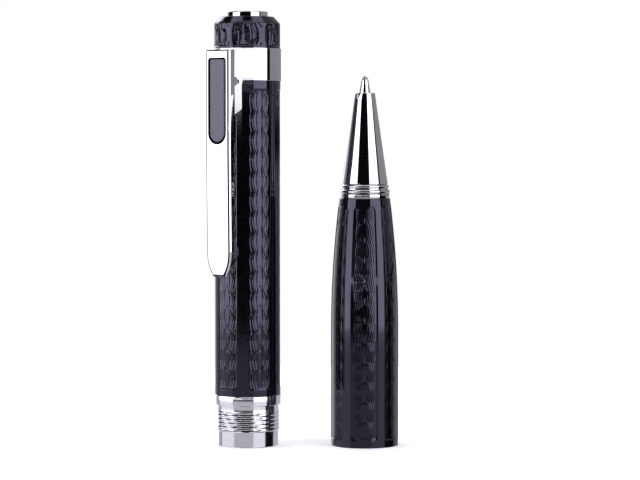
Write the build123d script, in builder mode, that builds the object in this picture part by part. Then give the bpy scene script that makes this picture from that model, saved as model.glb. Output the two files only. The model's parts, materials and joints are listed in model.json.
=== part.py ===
"""Pen-form subminiature camera, unscrewed into its two halves, which stand side by side.

The camera half stands on its threaded coupling at the origin, and the writing half stands
beside it with its point up.  Millimetres, +Z up, z = 0 at the standing faces.
"""

import os
from math import cos, radians, sin, sqrt

from build123d import *

os.makedirs("parts", exist_ok=True)

# ---------------------------------------------------------------- driving dimensions
half_spacing = 22.3  # between the axes of the two standing halves
clip_bearing = -36.7  # rotation of the clip and its band about the upper axis
lens_bearing = -43.5  # rotation of the lens and the circuit boards

# camera half: heights of its joints, from its standing face
pilot_top = 2.86
thread_top = 6.81
collar_low = 7.86
collar_top = 9.72
spigot_top = 16.2
band_low = 69.2
band_top = 75.3
cap_top = 81.3
button_top = 82.3

barrel_r = 6.3
tube_bore_r = 5.5
tube_neck_r = 5.95
coupling_r = 6.3
fit_gap = 0.05  # radial gap between pieces that are pressed or glued together

# M12 x 0.75 coupling thread, modelled as rings
thread_major_r = 6.0
thread_root_r = 5.82
thread_pitch = 0.75
pilot_r = 5.83
neck_r = 5.9
mouth_bore_r = 4.8
board_bore_r = 5.0
plate_seat_z = 5.4
edge_break = 0.15

# engraved strips: six on each barrel and on the cap
strip_count = 6
strip_depth = 0.15
strip_cut = 2.0  # radial width of the tool that cuts a strip
barrel_strip_width = 4.15
barrel_strip_low, barrel_strip_high = 11.0, 67.7
barrel_strip_bearing = clip_bearing - 90
cap_strip_width = 5.3
cap_strip_low, cap_strip_high = 75.8, 80.2
cap_strip_bearing = -89
grip_strip_width = 4.9
grip_strip_low, grip_strip_high = 1.3, 45.6
grip_strip_bearing = -91.4

# clip band and its tongue
band_r = 6.4
tongue_r = 6.42
tongue_low = 62.5
tongue_shoulder = 63.8
tongue_half_angle = 29.4
tongue_tip_half_angle = 14.0
tongue_gap = 0.01

# clip, measured outwards from the upper axis
clip_face_r = 9.1
clip_tip_face_r = 8.8
clip_plate = 1.5
clip_head_plate = 0.9
clip_tip_plate = 1.2
clip_width = 5.7
clip_cheek = 1.0
clip_cheek_r = 7.35
clip_low, clip_top = 32.9, 74.6
clip_head_low = 62.5
clip_taper_z = 37.4
clip_tip_width = 2.6
clip_bend_z = 56.0
nub_r = 6.2
nub_z = 37.3
pivot_r, pivot_z = 7.2, 69.0
pin_r = 0.4
pin_running_gap = 0.03
knuckle_r = 0.85
lug_width = 3.3
inlay_recess_width = 4.3
inlay_width = 3.35
inlay_recess_depth = 0.4
inlay_low, inlay_high = 57.2, 73.4

# cap, button and camera
cap_r = 6.235
cap_bore_r = 5.0
cap_wall = 0.8
cap_spigot_low = 71.8
cap_shoulder, cap_shoulder_height = 1.15, 1.3
button_r = 3.9
button_travel = 0.4
button_flange_r = 4.4
button_flange = 0.4
switch_board_z = 78.7
switch_board = 0.4
switch_offset = 1.5  # the switch stands behind the axis, clear of the lens
lens_z = 78.6
lens_r = 1.0
lens_wall = 0.25
glass_r = 0.72
glass_curve = 2.5  # radius of the lenses' faces
pinhole_r = 0.35
sensor_side = 2.0
window_r = 0.95
window_seat_r = 5.6  # how far out the window's seat goes into the cap's wall

# inside the barrel
board_y = 0.2
board_thickness = 0.8
cell_r = 5.0
cell_low, cell_high = 39.5, 66.5

# writing half
grip_r = 6.4
grip_straight_z = 22.0
grip_top_z = 47.0
ogive_radius = 198.6
socket_mouth_r, socket_mouth_z = 5.95, 1.1
socket_minor_r, socket_major_r = 5.89, 6.03
socket_thread_z = 5.3
socket_end_z = 8.3
grip_bore_r = 4.9
grip_throat_z, grip_throat_r = 33.0, 3.6
grip_neck_z, grip_neck_r = 41.0, 3.0
holder_low, holder_high = 9.0, 14.0
refill_r = 1.175
refill_low = 9.7
refill_shoulder_z = 62.0
nose_low, nose_top = 49.66, 66.95
nose_base_r, nose_tip_r = 4.35, 1.925
point_r = 1.15
point_shoulder_z = 67.9
ball_r = 0.45
point_top = 70.2

# ---------------------------------------------------------------- planes and axes


def sideways(bearing):
    """Horizontal direction across what stands at a bearing, such as the clip."""
    return Vector(cos(radians(bearing)), sin(radians(bearing)), 0)


def outwards(bearing):
    """Horizontal direction from the upper axis towards what stands at a bearing."""
    return Vector(sin(radians(bearing)), -cos(radians(bearing)), 0)


def side_plane(bearing):
    """Upright plane through the upper axis: x runs outwards at the bearing, and y is up."""
    return Plane(
        origin=(0, 0, 0), x_dir=outwards(bearing), z_dir=outwards(bearing).cross(Vector(0, 0, 1))
    )


def front_plane(bearing):
    """Upright plane through the upper axis that faces outwards at the bearing."""
    return Plane(origin=(0, 0, 0), x_dir=sideways(bearing), z_dir=outwards(bearing))


def level(z):
    """Horizontal plane in the camera half: x runs across the lens, and -y points out to it."""
    return Plane(origin=(0, 0, z), x_dir=sideways(lens_bearing), z_dir=(0, 0, 1))


upper_axis = Axis((0, 0, 0), (0, 0, 1))
front_axis = Axis((half_spacing, 0, 0), (0, 0, 1))
upper_section = Plane.XZ
front_section = Plane(origin=(half_spacing, 0, 0), x_dir=(1, 0, 0), z_dir=(0, -1, 0))
clip_side, clip_front = side_plane(clip_bearing), front_plane(clip_bearing)
lens_side, lens_front = side_plane(lens_bearing), front_plane(lens_bearing)
lens_outward = outwards(lens_bearing)
lens_height = Vector(0, 0, lens_z)


def front_level(z):
    """Horizontal plane in the writing half."""
    return Plane(origin=(half_spacing, 0, z), x_dir=(1, 0, 0), z_dir=(0, 0, 1))


def thread_rings(low, high, root_r, crest_r):
    """Zigzag of (radius, height) points from low to high, one tooth for each full pitch."""
    count = int((high - low) / thread_pitch)
    start = low + (high - low - count * thread_pitch) / 2
    points = [(root_r, low)]
    for tooth in range(count):
        foot = start + tooth * thread_pitch
        points += [
            (root_r, foot + 0.1 * thread_pitch),
            (crest_r, foot + 0.45 * thread_pitch),
            (crest_r, foot + 0.55 * thread_pitch),
            (root_r, foot + 0.9 * thread_pitch),
        ]
    return points + [(root_r, high)]


def grip_outline_r(z, inset=0.0):
    """Outer radius of the grip barrel: straight, then one long arc in to the nose."""
    rise = max(0.0, z - grip_straight_z)
    return grip_r - (ogive_radius - sqrt(ogive_radius**2 - rise**2)) - inset


# ================================================================ camera half, shell
with BuildPart() as coupling:
    with BuildSketch(upper_section):
        with BuildLine():
            Polyline(
                (mouth_bore_r, 0),
                (pilot_r - edge_break, 0),
                (pilot_r, edge_break),
                (pilot_r, pilot_top),
                *thread_rings(pilot_top, thread_top, thread_root_r, thread_major_r),
                (neck_r, thread_top),
                (neck_r, collar_low),
                (coupling_r - edge_break, collar_low),
                (coupling_r, collar_low + edge_break),
                (coupling_r, collar_top - edge_break),
                (coupling_r - edge_break, collar_top),
                (tube_bore_r - fit_gap, collar_top),
                (tube_bore_r - fit_gap, spigot_top),
                (board_bore_r, spigot_top),
                (board_bore_r, plate_seat_z),
                (mouth_bore_r, plate_seat_z),
                close=True,
            )
        make_face()
    revolve(axis=upper_axis)

with BuildPart() as barrel_strips:
    with BuildSketch(Plane.XY.offset(barrel_strip_low)):
        with PolarLocations(barrel_r, strip_count, start_angle=barrel_strip_bearing):
            Rectangle(strip_cut, barrel_strip_width)
    extrude(amount=barrel_strip_high - barrel_strip_low)
    with BuildSketch(Plane.XY.offset(barrel_strip_low)):
        Circle(barrel_r - strip_depth)
    extrude(amount=barrel_strip_high - barrel_strip_low, mode=Mode.SUBTRACT)

with BuildPart() as barrel_tube:
    with BuildSketch(upper_section):
        with BuildLine():
            Polyline(
                (tube_bore_r, collar_top),
                (barrel_r - edge_break, collar_top),
                (barrel_r, collar_top + edge_break),
                (barrel_r, band_low),
                (tube_neck_r, band_low),
                (tube_neck_r, band_top - fit_gap),
                (tube_bore_r, band_top - fit_gap),
                close=True,
            )
        make_face()
    revolve(axis=upper_axis)
    add(barrel_strips.part, mode=Mode.SUBTRACT)

with BuildPart() as clip_band:
    # the tongue, a curved sheet under the clip, cut to its outline from a full ring
    with BuildSketch(Plane.XY.offset(tongue_low)):
        Circle(tongue_r)
        Circle(barrel_r + tongue_gap, mode=Mode.SUBTRACT)
    extrude(amount=band_low - tongue_low)
    with BuildSketch(clip_front):
        with BuildLine():
            Polyline(
                (-tongue_r * sin(radians(tongue_tip_half_angle)), tongue_low),
                (tongue_r * sin(radians(tongue_tip_half_angle)), tongue_low),
                (tongue_r * sin(radians(tongue_half_angle)), tongue_shoulder),
                (tongue_r * sin(radians(tongue_half_angle)), band_low),
                (-tongue_r * sin(radians(tongue_half_angle)), band_low),
                (-tongue_r * sin(radians(tongue_half_angle)), tongue_shoulder),
                close=True,
            )
        make_face()
    extrude(amount=2 * barrel_r, mode=Mode.INTERSECT)
    with BuildSketch(Plane.XY.offset(band_low)):
        Circle(band_r)
        Circle(tube_neck_r + fit_gap, mode=Mode.SUBTRACT)
    extrude(amount=band_top - band_low)
    # the lug that stands into the clip's channel and carries its pin
    with BuildSketch(clip_side):
        with BuildLine():
            Polyline(
                (barrel_r - 0.3, pivot_z - 2.4),
                (pivot_r, pivot_z - knuckle_r),
                (pivot_r, pivot_z + knuckle_r),
                (barrel_r - 0.3, pivot_z + 2.4),
                close=True,
            )
        make_face()
        with Locations((pivot_r, pivot_z)):
            Circle(knuckle_r)
    extrude(amount=lug_width / 2, both=True)
    with BuildSketch(Plane.XY.offset(tongue_low)):
        Circle(barrel_r + tongue_gap)
    extrude(amount=band_low - tongue_low, mode=Mode.SUBTRACT)
    with BuildSketch(Plane.XY.offset(band_low)):
        Circle(tube_neck_r + fit_gap)
    extrude(amount=band_top - band_low, mode=Mode.SUBTRACT)
    with BuildSketch(clip_side):
        with Locations((pivot_r, pivot_z)):
            Circle(pin_r + pin_running_gap)
    extrude(amount=clip_width / 2, both=True, mode=Mode.SUBTRACT)

# ================================================================ clip
with BuildPart() as clip:
    # seen from the side
    with BuildSketch(clip_side):
        with BuildLine():
            Polyline(
                (clip_cheek_r, clip_top),
                (clip_face_r, clip_top),
                (clip_face_r, clip_bend_z),
                (clip_tip_face_r, clip_low + 0.4),
                (clip_tip_face_r - 0.3, clip_low),
                (clip_tip_face_r - 0.7, clip_low),
                (nub_r, nub_z - 0.8),
                (nub_r, nub_z + 0.4),
                (clip_tip_face_r - clip_tip_plate, nub_z + 2.6),
                (clip_face_r - clip_plate, clip_bend_z),
                (clip_face_r - clip_plate, clip_head_low - 1.2),
                (clip_cheek_r, clip_head_low),
                close=True,
            )
        make_face()
        with Locations((pivot_r, pivot_z)):
            Circle(knuckle_r)
        with BuildLine():
            Polyline(
                (clip_cheek_r, pivot_z - 2.2),
                (clip_cheek_r + 0.4, pivot_z),
                (clip_cheek_r, pivot_z + 2.2),
                (pivot_r, pivot_z + knuckle_r),
                (pivot_r, pivot_z - knuckle_r),
                close=True,
            )
        make_face()
    extrude(amount=clip_width / 2, both=True)
    # seen from the front: parallel sides, drawn in by curves to a narrow flat end
    with BuildSketch(clip_front):
        with BuildLine():
            right = Line((clip_width / 2, clip_top), (clip_width / 2, clip_taper_z))
            ease = JernArc(start=right @ 1, tangent=(0, -1), radius=7.0, arc_size=-25)
            tip = Line(ease @ 1, (clip_tip_width / 2, clip_low))
            Line(tip @ 1, (-clip_tip_width / 2, clip_low))
            left = Line((-clip_width / 2, clip_top), (-clip_width / 2, clip_taper_z))
            ease_left = JernArc(start=left @ 1, tangent=(0, -1), radius=7.0, arc_size=25)
            Line(ease_left @ 1, (-clip_tip_width / 2, clip_low))
            Line((clip_width / 2, clip_top), (-clip_width / 2, clip_top))
        make_face()
    extrude(amount=2 * clip_face_r, mode=Mode.INTERSECT)
    # the channel between the cheeks, closed at the top
    with BuildSketch(clip_side):
        with BuildLine():
            Polyline(
                (0, clip_head_low - 2.0),
                (clip_face_r - clip_head_plate, clip_head_low - 2.0),
                (clip_face_r - clip_head_plate, clip_top - clip_cheek),
                (0, clip_top - clip_cheek),
                close=True,
            )
        make_face()
    extrude(amount=clip_width / 2 - clip_cheek, both=True, mode=Mode.SUBTRACT)
    # seat of the inlay
    with BuildSketch(clip_front.offset(clip_face_r)):
        with Locations((0, (inlay_low + inlay_recess_width / 2 + inlay_high) / 2)):
            Rectangle(inlay_recess_width, inlay_high - inlay_low - inlay_recess_width / 2)
        with Locations((0, inlay_low + inlay_recess_width / 2)):
            Circle(inlay_recess_width / 2)
    extrude(amount=-inlay_recess_depth, mode=Mode.SUBTRACT)
    with BuildSketch(clip_side):
        with Locations((pivot_r, pivot_z)):
            Circle(pin_r + 0.01)
    extrude(amount=clip_width / 2, both=True, mode=Mode.SUBTRACT)

inlay_margin = (inlay_recess_width - inlay_width) / 2
with BuildPart() as clip_inlay:
    with BuildSketch(clip_front.offset(clip_face_r - inlay_recess_depth)):
        with Locations((0, (inlay_low + inlay_recess_width / 2 + inlay_high - inlay_margin) / 2)):
            Rectangle(inlay_width, inlay_high - inlay_low - inlay_recess_width / 2 - inlay_margin)
        with Locations((0, inlay_low + inlay_recess_width / 2)):
            Circle(inlay_width / 2)
    extrude(amount=inlay_recess_depth - 0.02)

with BuildPart() as clip_pin:
    with BuildSketch(clip_side):
        with Locations((pivot_r, pivot_z)):
            Circle(pin_r)
    extrude(amount=clip_width / 2 - 0.1, both=True)

spring_z = 72.2
with BuildPart() as clip_spring:
    with BuildLine(clip_front.offset(band_r + 0.2)) as spring_coil:
        Helix(0.42, 1.45, 0.8, center=(0, spring_z, 0), direction=outwards(clip_bearing))
    with BuildSketch(Plane(origin=spring_coil.line @ 0, z_dir=spring_coil.line % 0)):
        Circle(0.11)
    sweep()

# ================================================================ cap and record button
with BuildPart() as cap_strips:
    with BuildSketch(Plane.XY.offset(cap_strip_low)):
        with PolarLocations(cap_r, strip_count, start_angle=cap_strip_bearing):
            Rectangle(strip_cut, cap_strip_width)
    extrude(amount=cap_strip_high - cap_strip_low)
    with BuildSketch(Plane.XY.offset(cap_strip_low)):
        Circle(cap_r - strip_depth)
    extrude(amount=cap_strip_high - cap_strip_low, mode=Mode.SUBTRACT)

with BuildPart() as cap:
    with BuildSketch(upper_section):
        with BuildLine():
            Polyline(
                (cap_r - cap_shoulder, cap_top),
                (button_r + fit_gap, cap_top),
                (button_r + fit_gap, cap_top - cap_wall),
                (cap_bore_r, cap_top - cap_wall),
                (cap_bore_r, cap_spigot_low),
                (tube_bore_r - fit_gap, cap_spigot_low),
                (tube_bore_r - fit_gap, band_top),
                (cap_r, band_top),
                (cap_r, cap_top - cap_shoulder_height),
                close=True,
            )
        make_face()
    revolve(axis=upper_axis)
    add(cap_strips.part, mode=Mode.SUBTRACT)
    # pinhole through the wall, and the window's seat behind it
    with BuildSketch(lens_front.offset(cap_bore_r - 0.5)):
        with Locations((0, lens_z)):
            Circle(pinhole_r)
    extrude(amount=cap_wall + 2, mode=Mode.SUBTRACT)
    with BuildSketch(lens_front.offset(cap_bore_r - 0.5)):
        with Locations((0, lens_z)):
            Circle(window_r + 0.03)
    extrude(amount=window_seat_r - cap_bore_r + 0.5, mode=Mode.SUBTRACT)

with BuildPart() as record_button:
    with BuildSketch(upper_section):
        with BuildLine():
            Polyline(
                (0, button_top),
                (button_r - 0.25, button_top),
                (button_r, button_top - 0.25),
                (button_r, cap_top - cap_wall - fit_gap),
                (button_flange_r, cap_top - cap_wall - fit_gap),
                (button_flange_r, cap_top - cap_wall - fit_gap - button_flange),
                (0, cap_top - cap_wall - fit_gap - button_flange),
                close=True,
            )
        make_face()
    revolve(axis=upper_axis)

button_foot_z = cap_top - cap_wall - fit_gap - button_flange
switch_top_z = switch_board_z + switch_board

with BuildPart() as button_spring:
    with BuildLine(level(switch_top_z + 0.1)) as button_coil:
        Helix(pitch=0.35, height=0.7, radius=2.1, center=(0, switch_offset, 0))
    with BuildSketch(Plane(origin=button_coil.line @ 0, z_dir=button_coil.line % 0)):
        Circle(0.09)
    sweep()

with BuildPart() as switch_circuit_board:
    with BuildSketch(level(switch_board_z)):
        Circle(cap_bore_r - 0.15)
        with Locations((0, -cap_bore_r - 1.2)):
            Rectangle(2 * cap_bore_r, 2 * cap_bore_r, mode=Mode.SUBTRACT)
    extrude(amount=switch_board)

with BuildPart() as tact_switch:
    with BuildSketch(level(switch_top_z)):
        with Locations((0, switch_offset)):
            Rectangle(2.2, 2.2)
    extrude(amount=0.32)
    with BuildSketch(level(switch_top_z + 0.32)):
        with Locations((0, switch_offset)):
            Circle(0.6)
    extrude(amount=button_foot_z - button_travel - switch_top_z - 0.34)

with BuildPart() as status_led:
    with BuildSketch(level(switch_top_z)):
        with Locations((3.3, switch_offset)):
            Rectangle(0.8, 1.6)
    extrude(amount=0.45)

# ================================================================ camera module
with BuildPart() as camera_holder:
    with BuildSketch(level(72.0)):
        Circle(cap_bore_r - 0.1)
        with Locations((0, -cap_bore_r - 1.45)):
            Rectangle(2 * cap_bore_r, 2 * cap_bore_r, mode=Mode.SUBTRACT)
    extrude(amount=switch_board_z - fit_gap - 72.0)

with BuildPart() as pinhole_window:
    with BuildSketch(lens_front.offset(window_seat_r - 0.4)):
        with Locations((0, lens_z)):
            Circle(window_r)
    extrude(amount=0.4)

with BuildPart() as lens_barrel:
    with BuildSketch(lens_front.offset(2.55)):
        with Locations((0, lens_z)):
            Circle(lens_r)
            Circle(lens_r - lens_wall, mode=Mode.SUBTRACT)
    extrude(amount=2.25)
    with BuildSketch(lens_front.offset(4.55)):
        with Locations((0, lens_z)):
            Circle(lens_r)
            Circle(0.55, mode=Mode.SUBTRACT)
    extrude(amount=0.25)


# each lens is a disc cut back to a sphere on either side
front_lens_low, front_lens_high = 4.11, 4.59
with BuildPart() as front_lens:
    with BuildSketch(lens_front.offset(front_lens_low)):
        with Locations((0, lens_z)):
            Circle(glass_r)
    extrude(amount=front_lens_high - front_lens_low)
    with Locations(Location(lens_outward * (front_lens_high - glass_curve) + lens_height)):
        Sphere(glass_curve, mode=Mode.INTERSECT)
    with Locations(Location(lens_outward * (front_lens_low + glass_curve) + lens_height)):
        Sphere(glass_curve, mode=Mode.INTERSECT)

rear_lens_low, rear_lens_high = 3.1, 3.75
with BuildPart() as rear_lens:
    with BuildSketch(lens_front.offset(rear_lens_low)):
        with Locations((0, lens_z)):
            Circle(glass_r)
    extrude(amount=rear_lens_high - rear_lens_low)
    with Locations(Location(lens_outward * (rear_lens_high - glass_curve) + lens_height)):
        Sphere(glass_curve, mode=Mode.INTERSECT)
    with Locations(Location(lens_outward * (rear_lens_low + glass_curve) + lens_height)):
        Sphere(glass_curve, mode=Mode.INTERSECT)

with BuildPart() as image_sensor:
    with BuildSketch(lens_front.offset(1.97)):
        with Locations((0, lens_z)):
            Rectangle(sensor_side, sensor_side)
    extrude(amount=0.5)

with BuildPart() as sensor_board:
    with BuildSketch(lens_front.offset(1.55)):
        with Locations((0, 77.5)):
            Rectangle(3.6, 3.9)
    extrude(amount=0.4)

with BuildPart() as microphone:
    with BuildSketch(level(70.2)):
        Circle(2.0)
    extrude(amount=1.5)
    with BuildSketch(level(71.7)):
        Circle(0.7)
    extrude(amount=0.2)

with BuildPart() as camera_flex:
    with BuildSketch(lens_side):
        with BuildLine():
            FilletPolyline(
                (2.05, 76.6), (2.05, 69.2), (5.1, 67.9), (5.1, 39.0), (-0.1, 36.8), (-0.1, 33.5),
                radius=0.35,
            )
        trace(line_width=0.12)
    extrude(amount=1.5, both=True)

# ================================================================ power and main board
with BuildPart() as lithium_cell:
    with BuildSketch(level(cell_low)):
        Circle(cell_r)
    extrude(amount=cell_high - cell_low)
    chamfer(lithium_cell.edges().filter_by(GeomType.CIRCLE), 0.3)

with BuildPart() as foam_pad:
    with BuildSketch(level(cell_high + 0.1)):
        Circle(4.2)
    extrude(amount=0.8)

with BuildPart() as main_board:
    with BuildSketch(level(7.0)):
        with Locations((0, board_y + board_thickness / 2)):
            Rectangle(9.2, board_thickness)
    extrude(amount=29.0)

with BuildPart() as video_processor:
    with BuildSketch(level(16.0)):
        with Locations((0, board_y - 0.5)):
            Rectangle(6.0, 1.0)
    extrude(amount=6.0)

with BuildPart() as flash_memory:
    with BuildSketch(level(24.0)):
        with Locations((0, board_y - 0.4)):
            Rectangle(6.5, 0.8)
    extrude(amount=8.0)

with BuildPart() as board_parts:
    # crystal, regulator, charging chip, inductor and connector on the back of the board
    for low, width, height, thickness in (
        (12.0, 3.2, 2.5, 0.8),
        (17.0, 3.0, 3.0, 1.1),
        (21.5, 3.0, 1.6, 1.1),
        (25.0, 4.0, 4.0, 1.8),
        (31.0, 5.0, 1.2, 1.0),
    ):
        with BuildSketch(level(low)):
            with Locations((0, board_y + board_thickness + thickness / 2)):
                Rectangle(width, thickness)
        extrude(amount=height)

with BuildPart() as usb_socket:
    with BuildSketch(level(plate_seat_z + 0.15)):
        with Locations((0, board_y - 1.3)):
            RectangleRounded(7.4, 2.55, 0.5)
    extrude(amount=5.6)
    with BuildSketch(level(plate_seat_z + 0.15)):
        with Locations((0, board_y - 1.3)):
            RectangleRounded(6.9, 2.0, 0.3)
    extrude(amount=5.0, mode=Mode.SUBTRACT)
    with BuildSketch(level(plate_seat_z + 0.6)):
        with Locations((0, board_y - 1.05)):
            Rectangle(4.0, 0.6)
    extrude(amount=4.8)

with BuildPart() as port_plate:
    with BuildSketch(level(plate_seat_z)):
        Circle(board_bore_r - 0.02)
        with Locations((0, board_y - 1.3)):
            RectangleRounded(7.5, 2.7, 0.55, mode=Mode.SUBTRACT)
        with Locations((0, 2.7)):
            Circle(0.55, mode=Mode.SUBTRACT)
    extrude(amount=0.8)

with BuildPart() as reset_switch:
    with BuildSketch(level(7.4)):
        with Locations((0, 2.45)):
            Rectangle(3.4, 2.7)
        with Locations((0, 2.7)):
            Circle(0.52, mode=Mode.SUBTRACT)
    extrude(amount=2.4)

with BuildPart() as reset_plunger:
    with BuildSketch(level(6.4)):
        with Locations((0, 2.7)):
            Circle(0.47)
    extrude(amount=2.0)

with BuildPart() as battery_wires:
    for side in (-1, 1):
        with BuildLine(lens_side.offset(side * 2.9)) as wire_route:
            FilletPolyline((1.6, cell_low - 0.1), (1.6, 37.2), (0.06, 35.4), (0.06, 34.0), radius=0.6)
        with BuildSketch(Plane(origin=wire_route.line @ 0, z_dir=wire_route.line % 0)):
            Circle(0.25)
        sweep()

# ================================================================ writing half
with BuildPart() as grip_strips:
    with BuildSketch(front_level(grip_strip_low)):
        with PolarLocations(grip_r, strip_count, start_angle=grip_strip_bearing):
            Rectangle(3 * strip_cut, grip_strip_width)
    extrude(amount=grip_strip_high - grip_strip_low)
    with BuildSketch(front_section):
        with BuildLine():
            Polyline(
                (grip_outline_r(grip_strip_high, strip_depth), grip_strip_high),
                (0, grip_strip_high),
                (0, 0),
                (grip_r - strip_depth, 0),
                (grip_r - strip_depth, grip_straight_z),
            )
            ThreePointArc(
                (grip_r - strip_depth, grip_straight_z),
                (grip_outline_r(35.0, strip_depth), 35.0),
                (grip_outline_r(grip_strip_high, strip_depth), grip_strip_high),
            )
        make_face()
    revolve(axis=front_axis, mode=Mode.SUBTRACT)

with BuildPart() as grip_barrel:
    with BuildSketch(front_section):
        with BuildLine():
            Polyline(
                (grip_outline_r(grip_top_z), grip_top_z),
                (grip_neck_r, grip_top_z),
                (grip_neck_r, grip_neck_z),
                (grip_throat_r, grip_neck_z - 1.0),
                (grip_throat_r, grip_throat_z),
                (grip_bore_r, grip_throat_z - 3.0),
                (grip_bore_r, socket_end_z + 0.4),
                (socket_minor_r, socket_end_z),
                *reversed(
                    thread_rings(socket_mouth_z, socket_thread_z, socket_minor_r, socket_major_r)
                ),
                (socket_mouth_r, socket_mouth_z),
                (socket_mouth_r, 0),
                (grip_r - edge_break, 0),
                (grip_r, edge_break),
                (grip_r, grip_straight_z),
            )
            ThreePointArc(
                (grip_r, grip_straight_z),
                (grip_outline_r(35.0), 35.0),
                (grip_outline_r(grip_top_z), grip_top_z),
            )
        make_face()
    revolve(axis=front_axis)
    add(grip_strips.part, mode=Mode.SUBTRACT)

with BuildPart() as refill_holder:
    with BuildSketch(front_level(holder_low)):
        Circle(grip_bore_r - fit_gap)
        with PolarLocations(3.1, 3):
            Circle(0.9, mode=Mode.SUBTRACT)
    extrude(amount=holder_high - holder_low)
    with BuildSketch(front_level(refill_low - 0.1)):
        Circle(refill_r + 0.03)
    extrude(amount=holder_high - refill_low + 0.1, mode=Mode.SUBTRACT)

with BuildPart() as trim_ring:
    with BuildSketch(front_section):
        with BuildLine():
            Polyline((3.05, 47.0), (4.685, 47.0), (4.685, 47.8), (4.45, 47.9))
            ThreePointArc((4.45, 47.9), (4.77, 48.2), (4.45, 48.5))
            Polyline((4.45, 48.5), (4.4, 48.65), (4.35, 48.8))
            ThreePointArc((4.35, 48.8), (4.55, 49.2), (4.35, 49.6))
            Polyline((4.35, 49.6), (4.2, nose_low), (3.05, nose_low), (3.05, 47.0))
        make_face()
    revolve(axis=front_axis)

with BuildPart() as nose_cone:
    with BuildSketch(front_section):
        with BuildLine():
            Polyline(
                (refill_r + 0.04, nose_top),
                (nose_tip_r - 0.15, nose_top),
                (nose_tip_r, nose_top - 0.15),
                (nose_base_r, nose_low + 0.1),
                (nose_base_r - 0.1, nose_low),
                (2.95, nose_low),
                (2.95, grip_neck_z + 0.5),
                (2.2, grip_neck_z + 0.5),
                (2.2, nose_low + 4.0),
                (refill_r + 0.04, nose_low + 6.0),
                close=True,
            )
        make_face()
    revolve(axis=front_axis)

# ================================================================ refill
with BuildPart() as refill_tube:
    with BuildSketch(front_level(refill_low)):
        Circle(refill_r)
    extrude(amount=refill_shoulder_z - refill_low)
    with BuildSketch(front_level(refill_low)):
        Circle(refill_r - 0.2)
    extrude(amount=refill_shoulder_z - refill_low - 1.0, mode=Mode.SUBTRACT)

with BuildPart() as refill_point:
    with BuildSketch(front_section):
        with BuildLine():
            Polyline(
                (0, refill_shoulder_z),
                (point_r, refill_shoulder_z),
                (point_r, point_shoulder_z),
                (0.8, 69.2),
                (ball_r + 0.12, point_top - 0.45),
                (0, point_top - 0.45),
                close=True,
            )
        make_face()
    revolve(axis=front_axis)
    with BuildSketch(front_section):
        with BuildLine():
            Line((0, point_top - 2 * ball_r - 0.01), (0, point_top + 0.01))
            CenterArc((0, point_top - ball_r), ball_r + 0.01, -90, 180)
        make_face()
    revolve(axis=front_axis, mode=Mode.SUBTRACT)

with BuildPart() as writing_ball:
    with BuildSketch(front_section):
        with BuildLine():
            Line((0, point_top - 2 * ball_r), (0, point_top))
            CenterArc((0, point_top - ball_r), ball_r, -90, 180)
        make_face()
    revolve(axis=front_axis)

# ---------------------------------------------------------------- labels and files
pieces = {
    "coupling": coupling,
    "barrel_tube": barrel_tube,
    "clip_band": clip_band,
    "clip": clip,
    "clip_inlay": clip_inlay,
    "clip_pin": clip_pin,
    "clip_spring": clip_spring,
    "cap": cap,
    "record_button": record_button,
    "button_spring": button_spring,
    "switch_circuit_board": switch_circuit_board,
    "tact_switch": tact_switch,
    "status_led": status_led,
    "camera_holder": camera_holder,
    "pinhole_window": pinhole_window,
    "lens_barrel": lens_barrel,
    "front_lens": front_lens,
    "rear_lens": rear_lens,
    "image_sensor": image_sensor,
    "sensor_board": sensor_board,
    "microphone": microphone,
    "camera_flex": camera_flex,
    "lithium_cell": lithium_cell,
    "foam_pad": foam_pad,
    "main_board": main_board,
    "video_processor": video_processor,
    "flash_memory": flash_memory,
    "board_parts": board_parts,
    "usb_socket": usb_socket,
    "port_plate": port_plate,
    "reset_switch": reset_switch,
    "reset_plunger": reset_plunger,
    "battery_wires": battery_wires,
    "grip_barrel": grip_barrel,
    "refill_holder": refill_holder,
    "trim_ring": trim_ring,
    "nose_cone": nose_cone,
    "refill_tube": refill_tube,
    "refill_point": refill_point,
    "writing_ball": writing_ball,
}
for name, piece in pieces.items():
    piece.part.label = name
    export_step(piece.part, f"parts/{name}.step")
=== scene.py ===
"""Looks of the pen-form subminiature camera: meshes, materials, floor, light and camera.

Lengths in the mesh code are millimetres in the frame of the CAD model, and each mesh is
scaled to metres when it is made.  Bearings are degrees about +Z, counted from +X.
"""

import json
import math

import bpy
import numpy as np
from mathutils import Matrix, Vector


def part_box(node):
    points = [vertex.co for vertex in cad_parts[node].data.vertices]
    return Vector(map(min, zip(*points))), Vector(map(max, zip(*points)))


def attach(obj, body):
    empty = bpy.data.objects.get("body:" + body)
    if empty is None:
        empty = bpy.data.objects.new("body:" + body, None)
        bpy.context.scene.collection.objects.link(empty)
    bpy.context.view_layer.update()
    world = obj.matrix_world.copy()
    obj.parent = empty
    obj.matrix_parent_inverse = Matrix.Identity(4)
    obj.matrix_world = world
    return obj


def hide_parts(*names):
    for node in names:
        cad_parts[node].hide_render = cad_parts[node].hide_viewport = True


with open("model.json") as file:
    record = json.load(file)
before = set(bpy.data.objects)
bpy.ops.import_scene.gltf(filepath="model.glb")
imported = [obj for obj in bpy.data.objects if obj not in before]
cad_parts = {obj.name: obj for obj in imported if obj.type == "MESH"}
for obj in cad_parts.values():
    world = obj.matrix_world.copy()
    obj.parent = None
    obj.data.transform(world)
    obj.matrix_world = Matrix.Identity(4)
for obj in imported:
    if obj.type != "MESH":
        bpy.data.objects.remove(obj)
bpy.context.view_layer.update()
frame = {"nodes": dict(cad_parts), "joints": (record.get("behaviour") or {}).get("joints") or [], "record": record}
nodes = frame["nodes"]
joints = {joint["name"]: joint for joint in frame["joints"]}

MM = 0.001
TAU = 2 * math.pi


def box_mm(node):
    """Lowest and highest corner of a CAD node, in millimetres."""
    low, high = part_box(node)
    return low / MM, high / MM


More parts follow.
